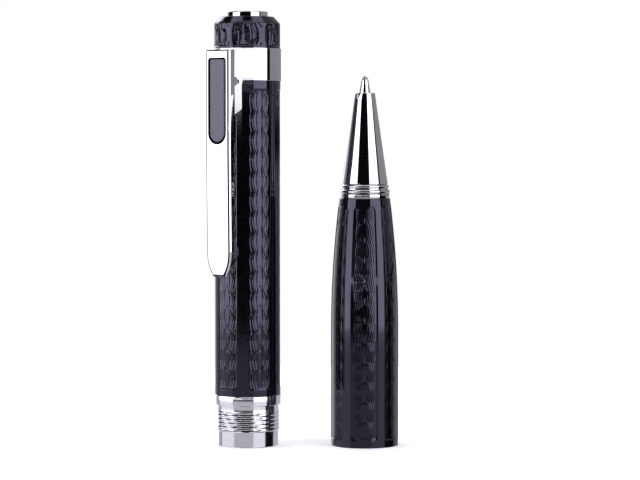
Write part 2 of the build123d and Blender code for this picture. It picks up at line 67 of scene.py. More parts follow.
def radius_mm(node):
    """Half of a round node's width, in millimetres."""
    low, high = box_mm(node)
    return (high.x - low.x) / 2


# ---------------------------------------------------------------- places, from the frame
coupling_low, coupling_high = box_mm("coupling")
tube_low, tube_high = box_mm("barrel_tube")
cap_low, cap_high = box_mm("cap")
button_low, button_high = box_mm("record_button")
band_low, band_high = box_mm("clip_band")
clip_low, clip_high = box_mm("clip")
inlay_low, inlay_high = box_mm("clip_inlay")
grip_low, grip_high = box_mm("grip_barrel")
ring_low, ring_high = box_mm("trim_ring")
nose_low, nose_high = box_mm("nose_cone")
point_low, point_high = box_mm("refill_point")
ball_low, ball_high = box_mm("writing_ball")

upper_centre = (0.0, 0.0)
front_centre = ((grip_low.x + grip_high.x) / 2, (grip_low.y + grip_high.y) / 2)

clip_joint = joints["clip_open"]
pivot = Vector(clip_joint["pos_m"]) / MM
across = Vector(clip_joint["axis"]).normalized()
outward = Vector((pivot.x, pivot.y, 0)).normalized()
pivot_r = math.hypot(pivot.x, pivot.y)
clip_bearing = math.degrees(math.atan2(outward.y, outward.x))


# ---------------------------------------------------------------- mesh helpers
def make_piece(name, points, faces, materials, sharp=35.0):
    """A mesh piece from points in millimetres, smooth except along edges sharper than that."""
    mesh = bpy.data.meshes.new(name)
    mesh.from_pydata((np.asarray(points, float) * MM).tolist(), [], faces)
    mesh.validate()
    piece = bpy.data.objects.new(name, mesh)
    bpy.context.scene.collection.objects.link(piece)
    for material in materials:
        mesh.materials.append(material)
    shade(piece, sharp)
    return piece


def shade(piece, sharp):
    """Smooth shading, with edges sharper than the given angle kept sharp."""
    piece.data.shade_smooth()
    piece.data.set_sharp_from_angle(angle=math.radians(sharp))


def grid_faces(rows, columns):
    """Faces of a grid that closes on itself both ways."""
    faces = []
    for row in range(rows):
        above = (row + 1) % rows
        for column in range(columns):
            beside = (column + 1) % columns
            faces.append(
                (
                    row * columns + column,
                    row * columns + beside,
                    above * columns + beside,
                    above * columns + column,
                )
            )
    return faces


def soften(outline, steps=4):
    """Rounds the corners of an open outline of (r, z) or (r, z, fillet radius) points."""
    result = []
    for index, point in enumerate(outline):
        fillet = point[2] if len(point) > 2 else 0.0
        if fillet <= 0 or index in (0, len(outline) - 1):
            result.append(point[:2])
            continue
        here = np.array(point[:2], float)
        before = np.array(outline[index - 1][:2], float) - here
        after = np.array(outline[index + 1][:2], float) - here
        before_length, after_length = np.linalg.norm(before), np.linalg.norm(after)
        before, after = before / before_length, after / after_length
        half = math.acos(max(-1.0, min(1.0, float(before @ after)))) / 2
        reach = min(fillet / math.tan(half), 0.49 * before_length, 0.49 * after_length)
        radius = reach * math.tan(half)
        middle = here + (before + after) / np.linalg.norm(before + after) * radius / math.sin(half)
        start, end = here + before * reach - middle, here + after * reach - middle
        start_angle = math.atan2(start[1], start[0])
        turn = math.atan2(end[1], end[0]) - start_angle
        turn = (turn + math.pi) % TAU - math.pi
        for step in range(steps + 1):
            angle = start_angle + turn * step / steps
            result.append((middle[0] + radius * math.cos(angle), middle[1] + radius * math.sin(angle)))
    return result


def arc(centre, radius, start, end, steps):
    """Points along an arc in the (r, z) plane, angles in degrees."""
    angles = np.radians(np.linspace(start, end, steps + 1))
    return [(centre[0] + radius * math.cos(a), centre[1] + radius * math.sin(a)) for a in angles]


def dense(outline, step):
    """The outline with points added so that none are further apart than step."""
    result = [outline[0]]
    for (r0, z0), (r1, z1) in zip(outline, outline[1:]):
        count = max(1, math.ceil(math.hypot(r1 - r0, z1 - z0) / step))
        for i in range(1, count + 1):
            result.append((r0 + (r1 - r0) * i / count, z0 + (z1 - z0) * i / count))
    return result


def turned(name, outline, centre, materials, segments=160, sharp=35.0):
    """A turned piece.  The outline runs from one end to the other; r = 0 at an end closes it."""
    angles = np.linspace(0, TAU, segments, endpoint=False)
    points, rows = [], []
    for r, z in outline:
        if r < 1e-6:
            rows.append([len(points)] * segments)
            points.append((centre[0], centre[1], z))
            continue
        rows.append(list(range(len(points), len(points) + segments)))
        points += [(centre[0] + r * math.cos(a), centre[1] + r * math.sin(a), z) for a in angles]
    solid = outline[0][0] < 1e-6 and outline[-1][0] < 1e-6
    pairs = list(zip(rows, rows[1:])) + ([] if solid else [(rows[-1], rows[0])])
    faces = []
    for low, high in pairs:
        for i in range(segments):
            j = (i + 1) % segments
            corners = [low[i], low[j], high[j], high[i]]
            face = [c for n, c in enumerate(corners) if c != corners[n - 1]]
            faces.append(face)
    return make_piece(name, points, faces, materials, sharp)


def place(piece, body, slot, *replaced):
    """Puts a finished piece on its body, in place of CAD nodes."""
    even = piece.modifiers.new("even", "WEIGHTED_NORMAL")
    even.keep_sharp = True
    even.weight = 60
    apply_modifiers(piece)
    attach(piece, body)
    if replaced:
        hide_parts(*replaced)
    return piece


# ---------------------------------------------------------------- materials
class Shader:
    """A material with one Principled shader, and short ways to add nodes to it."""

    def __init__(self, name, colour, metallic=0.0, roughness=0.4, **sockets):
        self.material = bpy.data.materials.new(name)
        self.material.use_nodes = True
        self.tree = self.material.node_tree
        self.surface = self.tree.nodes["Principled BSDF"]
        self.set("Base Color", (*colour, 1.0))
        self.set("Metallic", metallic)
        self.set("Roughness", roughness)
        for socket, value in sockets.items():
            self.set(socket.replace("_", " "), value)
        self.where = self.node("ShaderNodeTexCoord").outputs["Object"]

    def set(self, socket, value):
        self.surface.inputs[socket].default_value = value

    def node(self, kind, **inputs):
        made = self.tree.nodes.new(kind)
        for socket, value in inputs.items():
            self.feed(made.inputs[socket.replace("_", " ")], value)
        return made

    def feed(self, socket, value):
        if isinstance(value, bpy.types.NodeSocket):
            self.tree.links.new(value, socket)
        else:
            socket.default_value = value

    def stretched(self, scale):
        """Object coordinates scaled by a different amount along each axis."""
        made = self.node("ShaderNodeMapping", Vector=self.where)
        made.inputs["Scale"].default_value = scale
        return made.outputs["Vector"]

    def noise(self, scale, detail=3.0, where=None):
        made = self.node("ShaderNodeTexNoise", Vector=where or self.where, Scale=scale, Detail=detail)
        return made.outputs["Fac"]

    def between(self, value, low, high, start=0.3, end=0.7):
        """Maps a 0 to 1 texture onto low to high."""
        made = self.node("ShaderNodeMapRange", Value=value)
        for socket, number in (("From Min", start), ("From Max", end), ("To Min", low), ("To Max", high)):
            made.inputs[socket].default_value = number
        return made.outputs["Result"]

    def colours(self, value, *stops):
        """A colour ramp of (place, colour) stops over a 0 to 1 value."""
        made = self.node("ShaderNodeValToRGB", Fac=value)
        ramp = made.color_ramp
        while len(ramp.elements) < len(stops):
            ramp.elements.new(0.5)
        for element, (position, colour) in zip(ramp.elements, stops):
            element.position = position
            element.color = (*colour, 1.0)
        return made.outputs["Color"]

    def relief(self, height, depth, strength=1.0):
        """Bump of the given depth in metres."""
        made = self.node("ShaderNodeBump", Height=height, Distance=depth, Strength=strength)
        self.tree.links.new(made.outputs["Normal"], self.surface.inputs["Normal"])

    def drive(self, socket, value):
        self.tree.links.new(value, self.surface.inputs[socket])


def black_lacquer():
    """Deep gloss lacquer over the engraved metal, with faint orange peel and handling haze."""
    made = Shader(
        "black_lacquer", (0.002, 0.002, 0.003), 0.0, 0.035, IOR=1.57, Specular_Tint=(0.86, 0.79, 1.12, 1.0)
    )
    dark, light = (0.0015, 0.0015, 0.002), (0.003, 0.003, 0.004)
    made.drive("Base Color", made.colours(made.noise(900), (0.3, dark), (0.7, light)))
    made.drive("Roughness", made.between(made.noise(260, 5.0), 0.025, 0.05))
    made.relief(made.noise(1500, 2.0), 1.5e-6)
    return made.material


def chrome():
    """Bright plate: faint haze and hairline polishing marks."""
    made = Shader("chrome", (0.62, 0.62, 0.635), 1.0, 0.05)
    dark, light = (0.6, 0.6, 0.618), (0.64, 0.64, 0.652)
    made.drive("Base Color", made.colours(made.noise(400), (0.3, dark), (0.7, light)))
    hairlines = made.noise(9000, 2.0, made.stretched((1.0, 1.0, 0.04)))
    haze = made.node("ShaderNodeMath", **{"Value": made.between(made.noise(220, 4.0), 0.02, 0.04)})
    haze.operation = "ADD"
    made.tree.links.new(made.between(hairlines, 0.0, 0.02), haze.inputs[1])
    made.drive("Roughness", haze.outputs[0])
    made.relief(hairlines, 1.5e-7)
    return made.material


def turned_aluminium():
    """Bare aluminium with the fine rings that a lathe tool leaves."""
    made = Shader("turned_aluminium", (0.88, 0.88, 0.92), 1.0, 0.1)
    rings = made.noise(14000, 3.0, made.stretched((0.02, 0.02, 1.0)))
    made.drive("Base Color", made.colours(rings, (0.25, (0.8, 0.8, 0.85)), (0.75, (0.94, 0.94, 0.98))))
    made.drive("Roughness", made.between(rings, 0.08, 0.14))
    made.relief(rings, 1.2e-6)
    return made.material


def dark_inlay():
    """Dark polished insert with a very fine mottle."""
    made = Shader("dark_inlay", (0.01, 0.01, 0.015), 0.0, 0.28, IOR=1.8, Specular_Tint=(0.9, 0.85, 1.1, 1.0))
    mottle = made.noise(2600, 6.0)
    made.drive("Base Color", made.colours(mottle, (0.3, (0.008, 0.008, 0.012)), (0.7, (0.013, 0.012, 0.018))))
    made.drive("Roughness", made.between(mottle, 0.24, 0.32))
    made.relief(mottle, 4.0e-7)
    return made.material


def painted_shade_black():
    """Black with no reflection: painted shade at the bottom of the inlay's seat and in the line let into the
    clip's edge.
    """
    made = Shader("painted_shade_black", (0.004, 0.004, 0.006), 0.0, 0.4, Specular_IOR_Level=0.0)
    made.drive("Roughness", made.between(made.noise(900), 0.28, 0.45))
    made.relief(made.noise(3000), 2.0e-6)
    return made.material


def metal(name, colour, low, high, grain=4000, stretch=(1.0, 1.0, 0.1)):
    """Worked metal with directional grain and varied gloss."""
    made = Shader(name, colour, 1.0, low)
    texture = made.noise(grain, 3.0, made.stretched(stretch))
    dim = tuple(0.86 * c for c in colour)
    made.drive("Base Color", made.colours(texture, (0.25, dim), (0.75, colour)))
    made.drive("Roughness", made.between(texture, low, high))
    made.relief(texture, 4.0e-7)
    return made.material


def moulded(name, colour, low, high, **sockets):
    """Moulded plastic or rubber with a fine spark-eroded texture."""
    made = Shader(name, colour, 0.0, low, **sockets)
    texture = made.noise(6000, 4.0)
    dim = tuple(0.8 * c for c in colour)
    made.drive("Base Color", made.colours(made.noise(700), (0.3, dim), (0.7, colour)))
    made.drive("Roughness", made.between(texture, low, high))
    made.relief(texture, 3.0e-6)
    return made.material


def circuit_board():
    """Green solder mask over copper tracks, with dark gaps between them."""
    made = Shader("circuit_board", (0.01, 0.09, 0.04), 0.0, 0.3, Coat_Weight=0.5, Coat_Roughness=0.1)
    cells = made.node("ShaderNodeTexVoronoi", Vector=made.where, Scale=900.0)
    cells.feature = "DISTANCE_TO_EDGE"
    cells.distance = "EUCLIDEAN"
    tracks = cells.outputs["Distance"]
    made.drive("Base Color", made.colours(tracks, (0.04, (0.004, 0.045, 0.02)), (0.1, (0.012, 0.12, 0.05))))
    made.drive("Roughness", made.between(made.noise(2500), 0.24, 0.4))
    made.relief(tracks, 1.2e-5)
    return made.material


def optical_glass():
    """Coated lens glass: dark, with a faint violet bloom."""
    made = Shader("optical_glass", (0.004, 0.005, 0.012), 0.0, 0.03, IOR=1.2)
    dark, light = (0.002, 0.003, 0.008), (0.006, 0.006, 0.016)
    made.drive("Base Color", made.colours(made.noise(1200), (0.3, dark), (0.7, light)))
    made.drive("Roughness", made.between(made.noise(3000), 0.02, 0.06))
    return made.material


LACQUER = black_lacquer()
CHROME = chrome()
SATIN = metal("clip_back_satin", (0.66, 0.66, 0.675), 0.42, 0.52)
ALUMINIUM = turned_aluminium()
INLAY = dark_inlay()
# black with no reflection, painted shade for the inlay's seat and the clip's edge line
SHADE_BLACK = painted_shade_black()
STEEL = metal("spring_steel", (0.6, 0.6, 0.62), 0.18, 0.34)
PLATED = metal("nickel_plated_tube", (0.7, 0.66, 0.58), 0.12, 0.24)
POINT = metal("turned_point", (0.84, 0.83, 0.82), 0.04, 0.09, 3000, (0.3, 0.3, 1.0))
CARBIDE = metal("ball_carbide", (0.5, 0.5, 0.52), 0.08, 0.16)
SOCKET = metal("socket_shell", (0.66, 0.65, 0.62), 0.2, 0.34)
BOARD = circuit_board()
GLASS = optical_glass()
CHIP = moulded("chip_plastic", (0.02, 0.02, 0.022), 0.45, 0.65)
HOLDER = moulded("holder_plastic", (0.035, 0.035, 0.04), 0.35, 0.55)
FOAM = moulded("foam", (0.03, 0.03, 0.03), 0.8, 0.95)
LED = moulded("led_epoxy", (0.75, 0.72, 0.6), 0.1, 0.25, Transmission_Weight=0.4)
FLEX = moulded("flex_film", (0.4, 0.16, 0.03), 0.25, 0.4, Coat_Weight=0.4)
SLEEVE = moulded("cell_sleeve", (0.04, 0.1, 0.24), 0.25, 0.4, Coat_Weight=0.5)
WIRE = moulded("wire_insulation", (0.4, 0.02, 0.02), 0.3, 0.45)


# ---------------------------------------------------------------- engraved shells
def smooth(value):
    """Eased 0 to 1 step."""
    value = np.clip(value, 0.0, 1.0)
    return value * value * (3 - 2 * value)


# places across half a strip, from its centre 0 to its edge 1
hook_edge = 0.06  # where the row of hooks in the middle ends
hook_limit = 0.07  # columns nearer the centre than this lean with the hooks
hook_lean = 0.03


def half_strip(strip):
    """Columns across half a strip: (place from centre 0 to edge 1, wave share, groove, hook, recess)."""
    lines, spacing = strip["lines"], strip["spacing"]
    shares = [1 - 0.55 * (2 * i / (lines - 1) - 1) ** 2 for i in range(lines)]
    half_groove = strip["groove_width"] / 2
    columns = [(0.0, 0.0, 0.0, 1.0, 1.0), (hook_edge, 0.0, 0.0, 0.0, 1.0)]
    columns += [(strip["first_line"] / 2, 0.2, 0.0, 0.0, 1.0)]
    for i, share in enumerate(shares):
        line = strip["first_line"] + i * spacing
        for away in (-half_groove, 0, half_groove):
            columns.append((line + away, share, float(away == 0), 0.0, 1.0))
    wall = strip["wall"]
    columns += [(1 - wall, 0.0, 0.0, 0.0, 1.0), (1 - wall / 2, 0.0, 0.0, 0.0, 0.5)]
    return columns + [(1.0, 0.0, 0.0, 0.0, 0.0)]


def engraved_shell(name, outer, inner, centre, strip, sharp=13.0):
    """A shell whose outside is engraved with six strips of mirrored wavy lines.

    The columns of the mesh follow the lines, so that each groove keeps its section.
    """
    half = half_strip(strip)
    other = -1 if strip["mirrored"] else 1
    places = [(-p, other * w, g, h, r) for p, w, g, h, r in reversed(half[1:])] + half
    place_, wave_, groove_, hook_, recess_ = (np.array(column) for column in zip(*places))
    land = np.linspace(0, 1, strip["land_columns"] + 2)[1:-1]
    pitch = 360.0 / strip["count"]
    low, high = strip["low"], strip["high"]
    lead, corner = strip["ramp"], strip["corner"]

    points = []
    for r, z in outer:
        phase = TAU * (z - low) / strip["wavelength"]
        wave = (2 * abs(math.sin(phase / 2)) - 1.25) * strip["amplitude"]
        inside = min(z - low, high - z)
        ramp = float(smooth(inside / lead))
        width = strip["half_angle"] * (1 - corner[0] * float(smooth(1 - (high - z) / corner[1])))
        width *= 1 - strip["foot_corner"] * float(smooth(1 - (z - low) / corner[1]))
        shown = float(smooth((inside - 0.15) / (2 * lead)))
        line_depth = strip["groove"] * shown * (0.92 + 0.08 * math.cos(phase + 0.6))
        hook = float(smooth((math.cos(phase - 0.5) - 0.45) / 0.4))
        depth = ramp * recess_ * strip["edge_depth"] + groove_ * line_depth
        depth = depth + hook_ * hook * shown * strip["hook"]
        lean = hook_lean * hook * (np.abs(place_) < hook_limit)
        for k in range(strip["count"]):
            middle = strip["bearing"] + k * pitch
            bearings = middle + width * (place_ + wave * wave_ + lean)
            gap_start, gap_end = middle + width, middle + pitch - width
            bearings = np.concatenate([bearings, gap_start + (gap_end - gap_start) * land])
            radii = np.concatenate([r - depth, np.full(len(land), r)])
            turns = np.radians(bearings)
            xs, ys = centre[0] + radii * np.cos(turns), centre[1] + radii * np.sin(turns)
            points += list(zip(xs, ys, np.full(len(turns), z)))
    columns = strip["count"] * (len(places) + len(land))
    last = np.array(points[-columns:])
    spokes = last[:, :2] - np.array(centre)
    spokes /= np.linalg.norm(spokes, axis=1)[:, None]
    for r, z in inner:
        points += [(centre[0] + r * x, centre[1] + r * y, z) for x, y in spokes]
    rows = len(outer) + len(inner)
    return make_piece(name, points, grid_faces(rows, columns), [LACQUER], sharp)


strip_style = {
    "count": 6,
    "mirrored": True,
    "wavelength": 3.75,
    "amplitude": 0.1,
    "groove": 0.04,
    "groove_width": 0.08,
    "hook": 0.05,
    "edge_depth": 0.13,
    "wall": 0.13,
    "ramp": 0.25,
    "corner": (0.16, 0.9),
    "foot_corner": 0.1,
    "land_columns": 11,
    "lines": 5,
    "first_line": 0.175,
    "spacing": 0.14,
}
barrel_strip = strip_style | {
    "bearing": clip_bearing,
    "half_angle": 19.8,
    "low": tube_low.z + 1.28,
    "high": band_high.z - 7.6,
    "lines": 3,
    "first_line": 0.27,
    "spacing": 0.26,
    "amplitude": 0.12,
    "groove": 0.055,
    "groove_width": 0.15,
    "hook": 0.02,
    "edge_depth": 0.09,
    "wall": 0.06,
}
cap_strip = strip_style | {
    "bearing": -88.0,
    "half_angle": 28.0,
    "edge_depth": 0.1,
    "ramp": 0.16,
    "low": band_high.z + 0.3,
    "high": cap_high.z - 1.0,
    "corner": (0.3, 1.3),
    "mirrored": False,
    "lines": 3,
    "first_line": 0.22,
    "spacing": 0.21,
    "amplitude": 0.13,
    "groove": 0.09,
    "groove_width": 0.15,
}
grip_strip = strip_style | {
    "lines": 4,
    "first_line": 0.2,
    "spacing": 0.17,
    "groove": 0.02,
    "groove_width": 0.09,
    "bearing": -91.4,
    "half_angle": 24.0,
    "low": 1.3,
    "high": grip_high.z - 1.4,
}


def around_ends(outline, strip, step):
    """The outline made dense, with rows close together where the strips begin and end."""
    result = dense(outline, step)
    ends = [(edge, side) for edge in (strip["low"], strip["high"]) for side in (-1, 1)]
    extra = [edge + side * away for edge, side in ends for away in (0.03, 0.1)]
    for z in extra:
        for i, ((r0, z0), (r1, z1)) in enumerate(zip(result, result[1:])):
            if z0 < z < z1 and min(z - z0, z1 - z) > 0.015:
                result.insert(i + 1, (r0 + (r1 - r0) * (z - z0) / (z1 - z0), z))
                break
    return result


def make_barrel():
    r, bore = radius_mm("barrel_tube"), 5.5
    shoulder = band_high.z - 6.1
    outer = soften([(bore, tube_low.z), (r, tube_low.z, 0.14), (r, shoulder, 0.05), (5.95, shoulder)], 8)
    outer += [(5.95, tube_high.z), (bore, tube_high.z)]
    return engraved_shell(
        "barrel_tube_lacquered", around_ends(outer, barrel_strip, 0.2), [], upper_centre, barrel_strip
    )


def make_grip():
    base_r, straight = radius_mm("grip_barrel"), 22.0
    ogive = 198.6

    def outside(z):
        return base_r - (ogive - math.sqrt(ogive**2 - max(0.0, z - straight) ** 2))

    top = grip_high.z
    outer = soften([(5.95, 0.0), (base_r, 0.0, 0.13), (base_r, 2.0)], 8)
    outer += [(outside(z), z) for z in np.linspace(2.2, top - 0.1, 230)]
    outer += [(outside(top) - 0.06, top)]
    inner = [(3.02, top), (3.02, 41.0), (3.6, 40.0), (3.6, 33.0)]
    inner += [(4.9, 30.0), (4.9, 8.7), (5.89, 8.3), (5.89, 5.3)]
    pitch, thread_low, thread_high = 0.75, 1.1, 5.3
    for tooth in range(5):
        crest = thread_high - 0.35 - tooth * pitch
        inner += [(5.89, crest + 0.18), (6.02, crest), (5.89, crest - 0.18)]
    inner += [(5.89, thread_low), (5.95, thread_low)]
    outer = around_ends(outer, grip_strip, 0.3)
    return engraved_shell("grip_barrel_lacquered", outer, inner, front_centre, grip_strip)


def cylinder_tool(origin, direction, radius, length):
    """A rod for cutting holes: it starts at origin and runs along direction."""
    along = Vector(direction).normalized()
    side = along.orthogonal().normalized()
    other = along.cross(side)
    turns = np.linspace(0, TAU, 48, endpoint=False)
    points = []
    for end in (0.0, length):
        ring = [(side * math.cos(a) + other * math.sin(a)) * radius for a in turns]
        points += [Vector(origin) + along * end + spoke for spoke in ring]
    faces = [tuple(reversed(range(48))), tuple(range(48, 96))]
    faces += [(i, (i + 1) % 48, 48 + (i + 1) % 48, 48 + i) for i in range(48)]
    return make_piece("cutting_tool", [tuple(p) for p in points], faces, [LACQUER])


def cut(piece, tool, operation="DIFFERENCE"):
    """Applies a boolean with the tool, and removes the tool."""
    step = piece.modifiers.new("cut", "BOOLEAN")
    step.operation = operation
    step.object = tool
    step.solver = "EXACT"
    step.material_mode = "TRANSFER"
    apply_modifiers(piece)
    bpy.data.objects.remove(tool)


def apply_modifiers(piece):
    """Replaces the piece's mesh by what its modifiers make of it."""
    graph = bpy.context.evaluated_depsgraph_get()
    result = bpy.data.meshes.new_from_object(piece.evaluated_get(graph), depsgraph=graph)
    piece.modifiers.clear()
    piece.data = result


def make_cap():
    r, top = radius_mm("cap"), cap_high.z
    hole = radius_mm("record_button") - 0.45
    foot = band_high.z
    outline = [(5.45, foot), (r, foot, 0.08), (r, top - 1.3, 0.3), (r - 1.15, top, 0.25)]
    outer = soften(outline + [(hole, top, 0.08), (hole, top - 0.3)], 7)
    inner = [(hole, top - 0.8), (5.0, top - 0.8), (5.0, cap_low.z), (5.45, cap_low.z)]
    outer = around_ends(outer, cap_strip, 0.12)
    piece = engraved_shell("cap_lacquered", outer, inner, upper_centre, cap_strip)
    window_low, window_high = box_mm("pinhole_window")
    lens_z = (window_low.z + window_high.z) / 2
    toward_lens = Vector((window_low.x + window_high.x, window_low.y + window_high.y, 0)).normalized()
    start = toward_lens * 5.2 + Vector((0, 0, lens_z))
    cut(piece, cylinder_tool(start, toward_lens, 0.35, 2.0))
    shade(piece, 13)
    return piece


place(make_barrel(), "camera_half", "black_lacquer", "barrel_tube")
place(make_grip(), "writing_half", "black_lacquer", "grip_barrel")
place(make_cap(), "camera_half", "black_lacquer", "cap")


# ---------------------------------------------------------------- coupling with its thread
def make_coupling():
    """Collar, neck, helical thread and pilot, turned from one bar."""
    pilot_r, neck_r, collar_r = 5.83, 5.9, radius_mm("coupling")
    crest_r, root_r, pitch = 6.0, 5.9, 0.75
    thread_low, thread_high = 2.86, 6.81
    collar_low = tube_low.z - 1.86
    outline = soften([(4.8, 0.0), (pilot_r, 0.0, 0.14), (pilot_r, thread_low)])
    outline += [(pilot_r, z) for z in np.linspace(thread_low, thread_high, 92)[1:-1]]
    collar = [(neck_r, thread_high), (neck_r, collar_low, 0.05), (collar_r, collar_low, 0.12)]
    outline += soften(collar + [(collar_r, tube_low.z, 0.12), (5.45, tube_low.z)])
    outline += [(5.45, coupling_high.z), (5.0, coupling_high.z), (5.0, 5.4), (4.8, 5.4)]
    segments = 224
    turns = np.linspace(0, TAU, segments, endpoint=False)
    points = []
    for r, z in outline:
        radii = np.full(segments, r)
        if thread_low < z < thread_high and abs(r - pilot_r) < 1e-6:
            phase = ((z - thread_low) / pitch - turns / TAU) % 1.0
            ridge = np.clip(1.35 - np.abs(phase - 0.5) * 3.6, 0, 1)
            run_out = smooth((z - thread_low) / 0.3) * smooth((thread_high - z) / 0.3)
            plain = pilot_r + (neck_r - pilot_r) * (z - thread_low) / (thread_high - thread_low)
            radii = plain + (root_r + (crest_r - root_r) * ridge - plain) * run_out
        points += list(zip(radii * np.cos(turns), radii * np.sin(turns), np.full(segments, z)))
    return make_piece("coupling_turned", points, grid_faces(len(outline), segments), [ALUMINIUM], 15)


place(make_coupling(), "camera_half", "aluminium", "coupling")


# ---------------------------------------------------------------- clip band and tongue
def make_band():
    """Chrome band and the tongue under the clip, one curved sheet with a lug for the pin."""
    outer_r, neck_r, sheet_r = 6.42, 5.99, 6.315
    top, foot = band_high.z, band_high.z - 6.1
    tip, shoulder = band_low.z, band_low.z + 1.3
    half_width, tip_half = 29.4, 14.0
    corner = 0.55
    per_degree = math.radians(outer_r)

    # lower outline from the middle of the tongue round to the back, as (degrees, height)
    side = [(0.0, tip), (tip_half * 0.5, tip), (tip_half - 1.2, tip), (tip_half, tip + 0.04)]
    side += [(half_width - 0.9, shoulder - 0.08), (half_width, shoulder + 0.15)]
    side += [(half_width, z) for z in np.linspace(shoulder + 0.6, foot - corner, 10)]
    centre = (half_width + corner / per_degree, foot - corner)
    for a in np.radians(np.linspace(165, 90, 6)):
        side.append((centre[0] + corner / per_degree * math.cos(a), centre[1] + corner * math.sin(a)))
    side += [(d, foot) for d in np.linspace(half_width + 9, 180, 44)]
    lower = side + [(360 - d, z) for d, z in reversed(side[1:-1])]
    count = len(lower)

    # the upper edge's points keep their order but spread evenly past the tongue's side
    steps = []
    for (d0, z0), (d1, z1) in zip(lower, lower[1 : count // 2 + 1]):
        steps.append(math.hypot((d1 - d0) * per_degree * 1.6, 0.35 * (z1 - z0)))
    along = np.concatenate([[0], np.cumsum(steps)])
    along = along / along[-1] * 180
    upper = list(along) + [360 - a for a in reversed(along[1:-1])]

    rows = []
    edge = 0.045
    for r, inset in ((sheet_r, 0.0), (outer_r - edge, 0.0), (outer_r, edge)):
        rows.append([(d, z + inset, r) for d, z in lower])
    for share in np.linspace(0, 1, 14)[1:-1]:
        pairs = zip(lower, upper)
        rows.append([(d + (u - d) * share, z + (top - z) * share, outer_r) for (d, z), u in pairs])
    rows.append([(u, top - edge, outer_r) for u in upper])
    rows.append([(u, top, outer_r - edge) for u in upper])
    rows.append([(u, top, neck_r) for u in upper])
    rows.append([(u, foot + 0.05, neck_r) for u in upper])
    points = []
    for row in rows:
        for degrees, z, r in row:
            a = math.radians(clip_bearing + degrees)
            points.append((r * math.cos(a), r * math.sin(a), z))
    piece = make_piece("clip_band_plated", points, grid_faces(len(rows), count), [CHROME], 40)

    lug = extrude_outline("lug", lug_outline(), -1.6, 1.6, "side", [CHROME])
    join(piece, [lug])
    shade(piece, 40)
    return piece


def lug_outline():
    """The lug seen from the side, as (outward, height) points."""
    knuckle = 0.85
    points = [(6.2, pivot.z - 2.3), (6.42, pivot.z - 2.1)]
    points += arc((pivot_r, pivot.z), knuckle, -75, 75, 12)
    return points + [(6.42, pivot.z + 2.1), (6.2, pivot.z + 2.3)]


def extrude_outline(name, outline, start, end, view, materials):
    """A prism.  view "side": outline is (outward, height); "front": (across, height)."""
    count = len(outline)
    points = []
    for level in (start, end):
        for u, z in outline:
            spot = outward * u + across * level if view == "side" else across * u + outward * level
            points.append((spot.x, spot.y, z))
    faces = [tuple(range(count)), tuple(reversed(range(count, 2 * count)))]
    faces += [(i, i + count, (i + 1) % count + count, (i + 1) % count) for i in range(count)]
    piece = make_piece(name, points, faces, materials)
    fix_normals(piece)
    return piece


def fix_normals(piece):
    """Turns every face of a closed mesh outwards."""
    import bmesh

    work = bmesh.new()
    work.from_mesh(piece.data)
    bmesh.ops.recalc_face_normals(work, faces=work.faces)
    work.to_mesh(piece.data)
    work.free()


def join(piece, others):
    """Joins other pieces into the first."""
    bpy.ops.object.select_all(action="DESELECT")
    for other in others:
        other.select_set(True)
    piece.select_set(True)
    bpy.context.view_layer.objects.active = piece
    bpy.ops.object.join()


place(make_band(), "camera_half", "chrome", "clip_band")


# ---------------------------------------------------------------- clip and its inlay
face_r, face_drop, plate, head_plate, tip_plate, width, cheek = 9.1, 0.3, 1.5, 0.9, 1.2, 5.7, 1.0
head_low, taper_z, bend_z, nub_z = 62.5, 37.4, 56.0, 37.3
recess_width, recess_low, recess_top = 4.3, 57.2, 73.4


def bevel(piece, size, segments=3, angle=30):
    """Rounds the piece's sharp edges."""
    step = piece.modifiers.new("bevel", "BEVEL")
    step.width = size * MM
    step.segments = segments
    step.limit_method = "ANGLE"
    step.angle_limit = math.radians(angle)
    step.harden_normals = False
    step.use_clamp_overlap = True
    apply_modifiers(piece)


def inlay_outline(half, low, high, corner):
    """Straight sides, a round lower end and small corners at the top."""
    middle = low + half
    points = arc((0, middle), half, 180, 360, 28)
    points += arc((half - corner, high - corner), corner, 0, 90, 5)
    return points + arc((-half + corner, high - corner), corner, 90, 180, 5)


def inset_outline(outline, inset):
    """A closed outline, counted anticlockwise, moved inwards by inset."""
    corners = np.array(outline, float)
    before = corners - np.roll(corners, 1, axis=0)
    after = np.roll(before, -1, axis=0)
    before /= np.linalg.norm(before, axis=1)[:, None]
    after /= np.linalg.norm(after, axis=1)[:, None]
    inward = np.stack([-(before + after)[:, 1], (before + after)[:, 0]], axis=1)
    length = np.linalg.norm(inward, axis=1)
    inward /= length[:, None]
    return corners + inward * (inset * 2 / length)[:, None]


def layered_prism(name, outline, layers, materials, painted):
    """A prism seen from the front: at each (distance out, inset) the outline is moved inwards.

    The walls that start at the painted layers take the second material.
    """
    points = []
    for reach, inset in layers:
        for u, z in inset_outline(outline, inset):
            spot = across * u + outward * reach
            points.append((spot.x, spot.y, z))
    count = len(outline)
    faces = [tuple(range(count)), tuple(reversed(range(len(points) - count, len(points))))]
    for layer in range(len(layers) - 1):
        base = layer * count
        for i in range(count):
            j = (i + 1) % count
            faces.append((base + i, base + count + i, base + count + j, base + j))
    piece = make_piece(name, points, faces, materials)
    for layer in painted:
        for i in range(count):
            piece.data.polygons[2 + layer * count + i].material_index = 1
    fix_normals(piece)
    return piece


def bend_down(piece):
    """Leans the part of the clip below its bend in towards the barrel."""
    import bmesh

    work = bmesh.new()
    work.from_mesh(piece.data)
    everything = work.verts[:] + work.edges[:] + work.faces[:]
    bmesh.ops.bisect_plane(work, geom=everything, plane_co=(0, 0, bend_z * MM), plane_no=(0, 0, 1), dist=1e-7)
    slope = face_drop / (bend_z - clip_low.z)
    for corner in work.verts:
        below = bend_z * MM - corner.co.z
        if below > 0:
            corner.co -= outward * (below * slope)
    work.to_mesh(piece.data)
    work.free()


